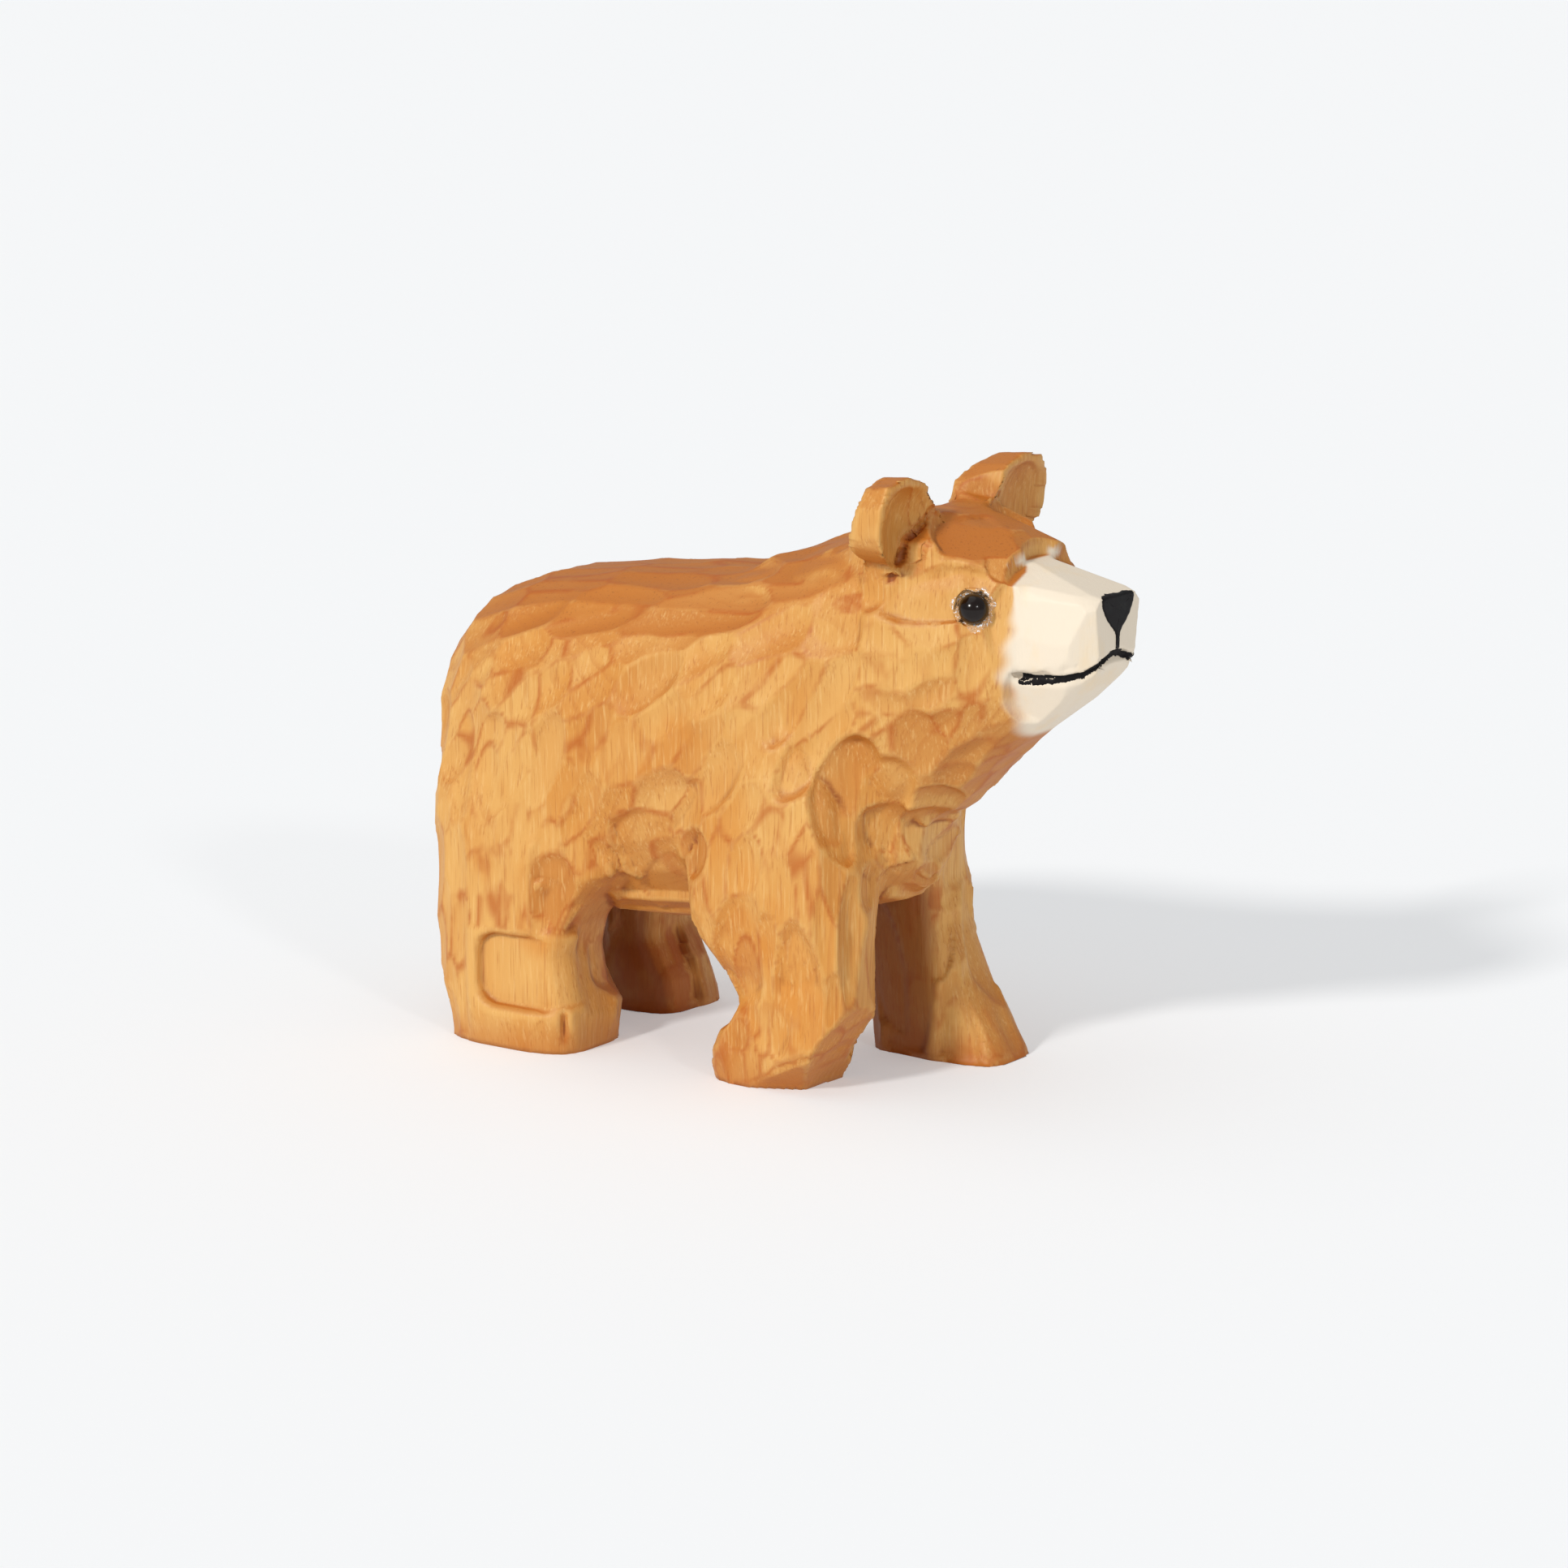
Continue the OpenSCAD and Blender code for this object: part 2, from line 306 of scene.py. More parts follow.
class Carving:
    """A mesh as arrays, with the few operations that a carver's tools need."""

    def __init__(self, verts, faces):
        self.v = verts
        self.faces = faces
        quads = np.array([f if len(f) == 4 else (*f, f[0]) for f in faces])
        self.quads = quads
        pairs = np.concatenate([quads[:, [0, 1]], quads[:, [1, 2]], quads[:, [2, 3]], quads[:, [3, 0]]])
        pairs = np.sort(pairs, axis=1)
        pairs = np.unique(pairs[pairs[:, 0] != pairs[:, 1]], axis=0)
        self.a, self.b = pairs[:, 0], pairs[:, 1]
        self.degree = np.maximum(self.spread(np.ones(len(self.a)), np.ones(len(self.a))), 1)
        self.stroke = np.zeros(len(verts), dtype=int)

    def spread(self, from_a, from_b):
        """Adds a value per edge end onto the vertex at the edge's other end."""
        n = len(self.v)
        return np.bincount(self.b, from_a, n) + np.bincount(self.a, from_b, n)

    def mean(self, values):
        """The mean of each vertex's neighbours."""
        if values.ndim == 1:
            return self.spread(values[self.a], values[self.b]) / self.degree
        return np.stack([self.mean(values[:, k]) for k in range(values.shape[1])], axis=1)

    def normals(self):
        q = self.v[self.quads]
        face = np.cross(q[:, 2] - q[:, 0], q[:, 3] - q[:, 1])
        out = np.zeros_like(self.v)
        for corner in range(4):
            for k in range(3):
                out[:, k] += np.bincount(self.quads[:, corner], face[:, k], len(self.v))
        return out / np.maximum(np.linalg.norm(out, axis=1, keepdims=True), 1e-12)

    def smooth(self, rounds, amount, shrink_guard=True):
        """Evens the surface. Amount is one number per vertex, from 0 to 1."""
        amount = amount[:, None]
        for _ in range(rounds):
            self.v += 0.5 * amount * (self.mean(self.v) - self.v)
            if shrink_guard:
                self.v -= 0.52 * amount * (self.mean(self.v) - self.v)

    def blur(self, values, rounds):
        for _ in range(rounds):
            values = 0.5 * values + 0.5 * self.mean(values)
        return values

    def take_off(self, index, amount, direction, number):
        """Moves vertices inwards, and marks those that moved enough as one stroke's."""
        hit = amount > 0.003
        index, amount = index[hit], amount[hit]
        self.v[index] -= amount[:, None] * direction
        self.stroke[index[amount > 0.02]] = number

    def near(self, place, reach):
        offset = self.v - place
        index = np.nonzero(np.einsum("ij,ij->i", offset, offset) < reach * reach)[0]
        return index, offset[index]

    def gouge(self, place, normal, along, half_length, half_width, depth, number, power):
        """One stroke of a gouge: a shallow oval facet whose rim rises out of the wood."""
        index, offset = self.near(place, 1.7 * half_length + 0.5)
        across = np.cross(normal, along)
        u, w, h = offset @ along, offset @ across, offset @ normal
        rho = np.sqrt((np.abs(u) / half_length) ** 3 + (w / half_width) ** 2)
        bottom = depth * (rho ** power - 1)
        facing = ramp(self.n0[index] @ normal, 0.1, 0.45)
        open_wood = 1 - ramp(self.fold[index], 0.06, 0.22)
        amount = np.maximum(h - bottom, 0) * facing * open_wood * (1 - ramp(rho, 1.1, 1.5))
        amount = np.where(h < 3, 0.9 * (1 - np.exp(-amount / 0.9)), 0)
        self.take_off(index, amount, normal, number)

    def start_tiling(self):
        """Readies the surface for cut(): the deepest level so far at each vertex, and the next deepest."""
        self.base = self.v.copy()
        self.height = np.full(len(self.v), UNCUT_LEVEL)
        self.second = np.full(len(self.v), UNCUT_SECOND)

    def cut(self, place, normal, along, half_length, half_width, depth, number):
        """One hollow stroke among many: each bit of wood is left by the stroke that cuts deepest there."""
        offset = self.base - place
        index = np.nonzero(np.einsum("ij,ij->i", offset, offset) < (1.6 * half_length) ** 2)[0]
        offset = offset[index]
        u, w, h = offset @ along, offset @ np.cross(normal, along), offset @ normal
        facing = self.n0[index] @ normal
        rise = depth * ((np.abs(u) / half_length) ** 3 + (w / half_width) ** 2 - 1)
        level = (rise - h) / np.maximum(facing, 0.4) + 2 * (1 - ramp(facing, 0.40, 0.72))
        outside = ramp(np.hypot(u / half_length, w / half_width), 1.05, 1.75)
        level = np.maximum(level, -0.7 - depth) + 1.6 * outside
        old = self.height[index]
        lower = level < old
        self.second[index] = np.where(lower, old, np.minimum(self.second[index], level))
        self.height[index[lower]] = level[lower]
        self.stroke[index[lower]] = number

    def end_tiling(self, freedom):
        way = self.n0.copy()
        way[:, 2] *= ramp(self.base[:, 2], 0.8, 3.0)
        shift = (self.height * freedom)[:, None] * way
        for _ in range(6):
            shift = np.where(self.base[:, 2:] < 0.8, self.mean(shift) * (1, 1, 0), shift)
        self.v = self.base + shift

    def fill(self, place, normal, reach, number, deepest=1.8):
        """Wood left standing in a corner: the surface is brought up to a plane, within reach."""
        index, offset = self.near(place, reach)
        h = offset @ normal
        flat = np.linalg.norm(offset - h[:, None] * normal, axis=1)
        amount = np.clip(-h, 0, None) * (h > -deepest) * (1 - ramp(flat, 0.70 * reach, reach))
        amount *= ramp(self.n0[index] @ normal, 0.1, 0.3)
        self.take_off(index, amount, -normal, number)

    def slice(self, place, normal, reach, number, deepest=3.0):
        """One knife cut: everything that stands above a plane, within reach, is taken down to it."""
        index, offset = self.near(place, reach)
        h = offset @ normal
        flat = np.linalg.norm(offset - h[:, None] * normal, axis=1)
        facing = ramp(self.n0[index] @ normal, 0.0, 0.25)
        amount = np.clip(h, 0, None) * (h < deepest) * facing * (1 - ramp(flat, 0.86 * reach, reach))
        self.take_off(index, amount, normal, number)


def ramp(value, low, high):
    t = np.clip((value - low) / (high - low), 0, 1)
    return t * t * (3 - 2 * t)


def unit(v):
    v = np.asarray(v, dtype=float)
    return v / np.linalg.norm(v)


bear = Carving(*refined(*remeshed_body()))


# ---------------------------------------------------------------- carving the surface

x0, y0, z0 = bear.v.copy().T
side0 = np.abs(y0)
off_floor = ramp(z0, 0.3, 1.4)

# How freely each part is evened out: the trunk loses its drawn facets, the small forms keep theirs.
ear_zone = ramp(z0, 53.5, 56) * ramp(x0, 13, 15) * (1 - ramp(x0, 24, 26)) * ramp(side0, 3.5, 5.5)
muzzle_zone = ramp(x0, 28.0, 31.0) * ramp(z0, 34, 38)
leg_zone = 1 - ramp(z0, 14, 20)
ease = np.clip(1 - 0.97 * ear_zone - 0.9 * muzzle_zone - 0.75 * leg_zone, 0.03, 1)
# The flat panel that the CAD cuts into the right thigh.
panel = (ramp(-y0, 10.5, 12) * ramp(-x0, 16.5, 17.5)
         * (1 - ramp(-x0, 28.8, 30.0)) * (1 - ramp(z0, 12.2, 13.2)))
ease = ease * (1 - 0.85 * panel)
bear.smooth(60, ease * off_floor)
bear.n0 = bear.normals()
n0 = bear.n0
bear.v += (0.30 * (1 - muzzle_zone) * (1 - ear_zone) * ramp(z0, 0.5, 5))[:, None] * n0
# The ears stand a little further out and back than drawn.
spread_ears = ear_zone * ramp(z0, 54.5, 57)
bear.v[:, 1] += 1.2 * spread_ears * np.sign(y0) * ramp(np.abs(n0[:, 1]) * (n0[:, 1] * y0 > 0), 0.0, 0.7)
bear.v[:, 0] -= 0.8 * spread_ears * ramp(-n0[:, 0], 0.0, 0.7)
base = bear.v.copy()
wide = bear.blur(base, 25)
bear.fold = np.einsum("ij,ij->i", wide - base, n0)

stroke_tint = [0.5]


def lay(direction, normal):
    """A direction turned into the plane of the surface."""
    flat = direction - normal * (direction @ normal)
    size = np.linalg.norm(flat)
    if size < 0.15:
        flat = np.cross(normal, [0, 1, 0])
        size = np.linalg.norm(flat)
    return flat / size


def next_stroke(tint):
    stroke_tint.append(rng.random() if tint is None else tint)
    return len(stroke_tint) - 1


def course(i):
    """The usual stroke at a vertex: its direction, half length, half width and depth."""
    x, y, z = base[i]
    n = n0[i]
    side = math.copysign(1.0, y)
    top = float(ramp(n[2], 0.25, 0.65))
    leg = float(1 - ramp(z, 19, 26))
    if n[0] < -0.55:
        return np.array([0.2, 0, 1.0]), 6.5, 2.7, 0.50
    if n[2] < -0.45:
        return np.array([0.3, 1.0, 0]), 4.0, 2.6, 0.40
    if z < 22 and abs(n[1]) < 0.6:
        return np.array([0, 0, 1.0]), 7.0, 2.4, 0.30
    if x > 15 and n[0] > 0.5 and z < 47:
        return np.array([0.2, -0.6 * side, 1.0]), 4.4, 2.9, 0.50
    if x > 13 and z > 38 and top < 0.5:
        return np.array([1.0, 0, 0.35]), 4.6, 2.4, 0.45
    angle = math.radians(52 + 36 * leg - 46 * top)
    direction = np.array([math.cos(angle), 0, math.sin(angle)])
    return direction, 6.3 + 1.5 * leg + 2.5 * top, 2.5 - 0.5 * leg + 0.5 * top, 0.50 - 0.2 * leg


def onto_surface(place, n):
    """The surface point that lies nearest to the line through a place along a normal."""
    gap = bear.v - np.array(place, dtype=float)
    along = gap @ n
    flat = gap - along[:, None] * n
    cost = np.einsum("ij,ij->i", flat, flat) + 4.0 * ((n0 @ n) < 0.3) + 0.02 * along ** 2
    return bear.v[cost.argmin()].copy()


def gouge(place, normal, direction, half_length, half_width, depth, tint=None, power=2.4):
    n = unit(normal)
    bear.gouge(onto_surface(place, n), n, lay(np.array(direction, dtype=float), n), half_length, half_width,
               depth, next_stroke(tint), power)


def slice_off(place, normal, depth, reach, tint=None):
    n = unit(normal)
    bear.slice(onto_surface(place, n) - depth * n, n, reach, next_stroke(tint))


# The strokes on a flank and its legs: (x, z, slope in degrees, half length, half width, tint).
# Many places here and in FRONT began as points marked on the photograph, which a scratch script
# carried through the camera onto the CAD surface. They were then rounded and moved.
FLANK = [
    # Along the edge of the back
    (-24.5, 45.0, 36, 6.5, 2.3, 0.80), (-29.5, 43.5, 45, 3.6, 1.7, 1.0), (-16.5, 46.0, 26, 7.5, 2.4, 0.75),
    (-4.5, 47.2, 14, 9.5, 2.6, 0.95), (6.5, 46.0, 36, 6.0, 3.0, 0.60), (12.0, 50.0, 30, 5.0, 2.8, 0.45),
    # Upper flank
    (-33.5, 37.5, 58, 5.5, 2.1, 0.55), (-29.0, 39.0, 50, 5.5, 2.1, 0.50), (-30.0, 33.0, 54, 6.0, 2.4, 0.60),
    (-24.0, 35.5, 52, 6.5, 2.5, 0.20), (-19.5, 38.0, 52, 5.2, 2.3, 0.35), (-15.0, 41.0, 48, 5.0, 2.5, 0.10),
    (-8.0, 41.5, 40, 5.5, 3.0, 0.70), (-1.5, 43.5, 42, 5.2, 2.4, 0.40), (0.5, 40.0, 52, 5.2, 2.0, 0.30),
    (6.5, 40.5, 48, 6.4, 2.7, 0.10), (13.0, 42.0, 60, 6.0, 2.6, 0.10), (15.5, 46.5, 70, 4.5, 2.3, 0.30),
    # Lower flank
    (-6.0, 36.5, 46, 6.0, 3.0, 0.25), (0.5, 32.5, 52, 5.6, 2.7, 0.15), (-12.8, 34.5, 66, 5.8, 2.3, 0.65),
    (-7.5, 29.0, 44, 5.4, 3.2, 0.05), (9.0, 34.5, 50, 7.0, 2.4, 0.20), (4.5, 28.5, 54, 5.2, 2.7, 0.30),
    (-20.0, 30.5, 76, 6.5, 2.4, 0.05), (-14.5, 27.5, 70, 5.0, 2.2, 0.35), (11.0, 28.0, 60, 5.2, 2.4, 0.20),
    (4.5, 22.5, 72, 4.6, 2.5, 0.35), (-4.0, 24.3, 30, 3.4, 2.4, 1.0), (-9.5, 24.0, 110, 3.6, 1.7, 0.85),
    # Hind leg
    (-27.5, 25.5, 88, 6.5, 2.0, 0.30), (-22.8, 21.5, 85, 6.2, 1.8, 0.25), (-17.0, 24.0, 80, 4.5, 2.2, 0.10),
    (-31.8, 27.0, 88, 8.0, 2.1, 0.40), (-26.5, 16.0, 88, 5.0, 1.8, 0.30), (-31.5, 13.0, 90, 9.5, 2.2, 0.20),
    (-35.3, 22.0, 88, 9.5, 2.1, 0.50), (-35.0, 8.0, 90, 7.0, 2.0, 0.35), (-28.0, 3.2, 90, 3.0, 2.0, 0.40),
    # Foreleg
    (9.8, 18.5, 93, 6.5, 2.3, 0.30), (4.6, 16.0, 112, 6.0, 1.9, 0.40), (7.8, 10.0, 106, 6.5, 1.8, 0.15),
    (12.0, 9.0, 98, 7.0, 2.0, 0.25), (13.4, 21.5, 92, 5.0, 1.9, 0.60), (4.8, 9.5, 118, 4.5, 1.5, 0.60),
]

# The facets of the chest, neck and cheek: ((x, |y|, z), normal, direction, half length, half width,
# tint).
FRONT = [
    ((25.5, 9.6, 42.8), (0.35, 1, -0.22), (1, 0, 0.42), 4.4, 1.9, 0.75),
    ((25.8, 8.6, 39.5), (0.40, 1, -0.42), (1, 0, 0.42), 4.8, 2.1, 0.80),
    ((27.4, 5.9, 36.2), (0.62, 0.75, -0.62), (1, 0, 0.30), 5.0, 2.3, 0.75),
    ((20.0, 11.3, 40.6), (0.30, 1, -0.05), (1, 0, -0.28), 4.6, 2.0, 0.70),
    ((20.6, 10.0, 35.6), (0.60, 0.85, -0.18), (0.6, 0, -1), 4.6, 4.2, 0.85),
    ((15.8, 11.2, 31.4), (0.50, 1, 0.0), (0.1, 0, 1), 4.4, 2.7, 0.80),
    ((12.9, 12.4, 36.4), (0.25, 1, 0.0), (0.8, 0, 1), 5.2, 1.9, 0.25),
    ((15.9, 12.2, 23.6), (0.80, 0.75, -0.02), (0, 0, 1), 5.4, 4.0, 0.70),
    ((16.4, 10.4, 16.0), (0.90, 0.62, 0.0), (0, 0, 1), 8.0, 2.4, 0.60),
    ((14.9, 13.5, 15.0), (0.55, 1, 0.0), (-0.05, 0, 1), 9.0, 2.1, 0.45),
    ((19.0, 4.0, 24.5), (1, 0.30, 0.20), (0.0, 1, 0.25), 4.6, 2.9, 0.15),
    ((21.7, 4.4, 29.2), (0.85, 0.45, -0.25), (0.2, 1, 0.1), 4.4, 2.3, 0.20),
    ((23.6, 6.0, 32.2), (0.80, 0.60, -0.45), (0.3, 0.2, 1), 3.6, 3.0, 0.80),
    ((20.9, 11.4, 46.6), (0.22, 1, 0.05), (1, 0, -0.55), 5.5, 2.8, 0.40),
    ((25.8, 8.8, 50.2), (0.26, 1, 0.06), (1, 0, -0.2), 7.0, 6.2, 0.10),
    ((22.6, 9.5, 54.6), (0.15, 1, 0.30), (1, 0, 0.1), 5.0, 2.6, 0.10),
    ((28.6, 7.6, 45.2), (0.26, 1, -0.10), (0.1, 0, 1), 4.4, 2.4, 0.30),
]

# How far every stroke leans forward along its own direction.
FORWARD_LEAN = 0.06

bear.start_tiling()
freedom = (1 - muzzle_zone) * (1 - ear_zone) * ramp(n0[:, 2], -0.9, -0.7) * (1 - ramp(bear.fold, 0.10, 0.35))
freedom *= 1 - panel
freedom = np.where(z0 < 4, freedom * ramp(n0[:, 2], -0.75, -0.45), freedom)


def cut(i, n, along, half_length, half_width, depth, shade):
    bear.cut(base[i], n, lay(along, n), half_length, half_width, depth, next_stroke(shade))


for side in (-1, 1):
    for x, z, slope, half_length, half_width, shade in FLANK:
        if side > 0:
            x, z = x + rng.normal(0, 0.8), z + rng.normal(0, 0.8)
            shade = rng.random()
        angle = math.radians(slope)
        direction = np.array([math.cos(angle), 0, math.sin(angle)])
        gap = np.hypot(base[:, 0] - x, base[:, 2] - z) + 20 * (side * n0[:, 1] < 0.25)
        i = gap.argmin()
        if gap[i] < 1.5:
            deep = (0.70 if z > 22 else 0.45) * rng.uniform(0.85, 1.15)
            along = lay(direction, n0[i])
            tip = rng.normal(-0.10, 0.09) * np.cross(n0[i], along)
            leaning = unit(n0[i] + tip + FORWARD_LEAN * along)
            cut(i, leaning, direction, half_length, half_width, deep, shade)
    for (x, y, z), (nx, ny, nz), (dx, dy, dz), half_length, half_width, shade in FRONT:
        n = unit((nx, side * ny, nz))
        gap = np.linalg.norm(base - np.array([x, side * y, z]), axis=1) + 9 * ((n0 @ n) < 0.5)
        cut(gap.argmin(), n, np.array([dx, side * dy, dz]), half_length, half_width, 0.60, shade)

# Everything that is still uncut gets strokes of its own region's usual kind.
on_flank = (np.abs(n0[:, 1]) > 0.5) & (x0 < 17) & (z0 > 16) & (z0 < 46)
for i in rng.permutation(np.nonzero(freedom > 0.25)[0]):
    if bear.height[i] > (0.0 if on_flank[i] else -0.10) and bear.fold[i] < 0.05:
        along, half_length, half_width, depth = course(i)
        along = lay(along, n0[i])
        sideways = np.cross(n0[i], along)
        along = unit(along + rng.normal(0, 0.10) * sideways)
        n = unit(n0[i] + rng.normal(0, 0.07) * sideways + FORWARD_LEAN * along)
        size = rng.uniform(0.85, 1.15)
        cut(i, n, along, half_length * size, half_width * size, depth * rng.uniform(0.65, 1.05),
            rng.uniform(0.15, 0.7))
bear.end_tiling(freedom)
bear.second = bear.second - bear.height
last_tile = len(stroke_tint) - 1

# The scoops over the right knee and at the right forefoot's heel.
gouge((-18.6, -15.0, 16.6), (0.15, -1, 0.05), (0, 0, 1), 4.2, 2.3, 0.60, 0.95, 3.0)
gouge((3.8, -14.0, 5.2), (-0.1, -1, 0.0), (0.3, 0, 1), 2.1, 1.7, 0.50, 0.9, 3.0)

# The notch between the forelegs.
gouge((18.6, -1.2, 21.2), (1, 0, -0.1), (0, 1, 0), 2.2, 1.6, 0.70, 1.0)

# Brow and crown.
slice_off((23.5, 0.0, 59.5), (0.22, 0, 1), 0.30, 7.5, 0.9)
for side in (-1, 1):
    slice_off((26.5, side * 4.4, 57.8), (0.30, side * 0.42, 1), 0.35, 5.0, 0.95)
    slice_off((30.3, side * 5.6, 55.0), (0.50, side * 0.75, 0.45), 0.25, 2.2, 0.7)

# The muzzle's top runs up into the brow.
for side in (-1, 1):
    brow_slope = unit((0.50, side * 0.06, 0.866))
    number = next_stroke(0.4)
    bear.fill(np.array([32.3, side * 1.6, 55.2]), brow_slope, 3.4, number)
    bear.slice(np.array([31.6, side * 1.6, 55.6]), brow_slope, 3.6, number)

# Muzzle: a flat top, flat sides and bevelled front corners.
slice_off((35.0, 0.0, 53.9), (0.30, 0, 1), 0.30, 6.0, 0.1)
for side in (-1, 1):
    slice_off((34.8, side * 3.9, 53.3), (0.22, side * 0.35, 1), 0.25, 5.0, 0.5)
    slice_off((35.0, side * 6.0, 49.3), (0.24, side, 0.16), 0.25, 6.2, 0.1)
    slice_off((39.2, side * 4.3, 47.6), (0.80, side * 0.85, -0.12), 0.55, 4.5, 0.3)
    slice_off((35.0, side * 5.2, 42.4), (0.25, side * 0.95, -0.55), 0.45, 4.6, 0.3)
slice_off((38.8, 0.0, 43.6), (0.9, 0, -0.55), 0.20, 3.4, 0.3)


def groove(path, half_width, depth, tint=1.0):
    """A narrow V cut along a line of points, with a half width and depth at each point."""
    number = next_stroke(tint)
    path = np.array(path, dtype=float)
    best = np.full(len(base), 9.0)
    for a, b, wa, wb in zip(path, path[1:], half_width, half_width[1:]):
        t = np.clip((bear.v - a) @ (b - a) / ((b - a) @ (b - a)), 0, 1)
        away = np.linalg.norm(bear.v - a - t[:, None] * (b - a), axis=1) / (wa + (wb - wa) * t)
        best = np.minimum(best, away)
    amount = depth * (1 - ramp(best, 0.35, 1.0))
    hit = amount > 0.003
    bear.v[hit] -= amount[hit][:, None] * bear.normals()[hit]
    bear.stroke[best < 0.9] = number


def lip_height(x, y):
    """The height of the mouth's line where it passes a place on the muzzle."""
    on_side = np.interp(x, [31.9, 33.6, 36.2, 38.4], [44.5, 44.35, 44.5, 44.95])
    on_front = np.interp(np.abs(y), [0, 1.2, 2.9, 4.3], [46.7, 46.6, 45.9, 44.95])
    return np.where((x < 38.4) & (np.abs(y) > 3.9), on_side, on_front)


# The mouth: a straight upper lip, and a lower one that slopes out again.
below = lip_height(bear.v[:, 0], bear.v[:, 1]) - bear.v[:, 2]
mouth_depth = 0.55 * ramp(bear.v[:, 0], 31.3, 32.1) * ramp(below, -0.10, 0.12) * (1 - ramp(below, 0.35, 1.3))
bear.v -= mouth_depth[:, None] * bear.normals()

# Each ear is dished in front, and a deep cut parts it from the head.
for side in (-1, 1):
    dish = np.linalg.norm((bear.v - np.array([21.3, side * 10.4, 58.4])) / (2.5, 3.0, 3.9), axis=1)
    faces_to = (0.94, side * 0.23, -0.26)
    front = ramp(n0 @ unit(faces_to), 0.25, 0.6) * (bear.v[:, 0] > 18.5)
    bear.smooth(40, (1 - ramp(dish, 0.85, 1.05)) * front, shrink_guard=False)
    gouge((21.6, side * 10.3, 58.6), faces_to, (0.2, side * 0.25, 0.95), 3.4, 2.6, 0.75, 0.7, 2.0)
    ear_root = [(22.2, side * 6.2, 59.8), (21.0, side * 8.8, 56.9), (20.0, side * 10.6, 53.2)]
    groove(ear_root, (0.4, 0.6, 0.6), 0.55)

# The notch in the right hind foot.
groove([(-17.6, -14.4, 4.4), (-17.7, -14.2, 0.2)], (0.55, 0.55), 0.6)

bear.smooth(1, 0.25 * off_floor, shrink_guard=False)
bear.v[:, 2] = np.where(z0 < 0.3, 0.0, np.maximum(bear.v[:, 2], 0.02))

late = np.maximum(bear.stroke[bear.a], bear.stroke[bear.b]) > last_tile
differs = ((bear.stroke[bear.a] != bear.stroke[bear.b]) & late).astype(float)
edge = np.clip(bear.spread(differs, differs) / bear.degree * 1.5, 0, 1)
arris = (1 - ramp(bear.second, 0.0, 0.17)) * freedom * (bear.stroke <= last_tile)
edge = np.maximum(edge, arris)
tint = bear.blur(np.array(stroke_tint)[bear.stroke], 1)
# How deep each place lies in a hollow, for the painted shade in hollows.
soft = bear.blur(bear.v, 8)
final_n = bear.normals()
hollow_shade = np.einsum("ij,ij->i", soft - bear.v, final_n)


# ---------------------------------------------------------------- the carving as an object

def build_mesh(name, verts_mm, faces):
    mesh = bpy.data.meshes.new(name)
    mesh.from_pydata((verts_mm * MM).tolist(), [], faces)
    mesh.update()
    mesh.polygons.foreach_set("use_smooth", np.ones(len(faces), dtype=bool))
    obj = bpy.data.objects.new(name, mesh)
    scene.collection.objects.link(obj)
    return obj


def add_attribute(obj, name, values):
    layer = obj.data.attributes.new(name, "FLOAT", "POINT")
    layer.data.foreach_set("value", np.ascontiguousarray(values, dtype=np.float32))


# The rear edge of the white wash, as x at each z.
WASH_EDGE_Z = [36, 40, 44, 49, 52, 54, 54.6, 55.2]
WASH_EDGE_X = [31.0, 31.3, 30.9, 31.7, 31.6, 31.2, 30.5, 30.2]

vx, vy, vz = bear.v.T
wash_line = np.interp(vz, WASH_EDGE_Z, WASH_EDGE_X)
wash_line = wash_line + 0.2 * np.sin(vz * 2.1) * (1 - ramp(vz, 49, 51))
wash_soft = 0.15 + 0.7 * (1 - ramp(vz, 49, 52))
wash_top = 55.9 - 0.2 * np.clip(np.abs(vy) - 1.0, 0, None)
wash = ramp((vx - wash_line) / wash_soft, -1, 1) * ramp(wash_top - vz, -0.12, 0.12) * ramp(vz, 33, 36)

# The inner faces of the legs, which get painted shade.
inner_leg_shade = (ramp(-final_n[:, 1] * np.sign(vy), 0.2, 0.8) * (1 - ramp(vx, 13.5, 15.5))
          * (1 - ramp(vz, 20, 27)) * ramp(np.abs(vy), 1, 3))
body = build_mesh("bear_carving", bear.v, bear.faces)
for attribute_name, values in (("edge", edge), ("tint", tint), ("hollow", hollow_shade),
                               ("wash", wash), ("inner_leg_shade", inner_leg_shade)):
    add_attribute(body, attribute_name, values)
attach(body, "root")
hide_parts("carved_body", "muzzle_wash")


# The block's growth rings: how many cross a metre, and where their centre stands in metres.
RINGS_PER_METRE = 1150.0
PITH = (0.02, 0.12, 0)
STAIN = (0.82, 0.71, 0.47, 1)


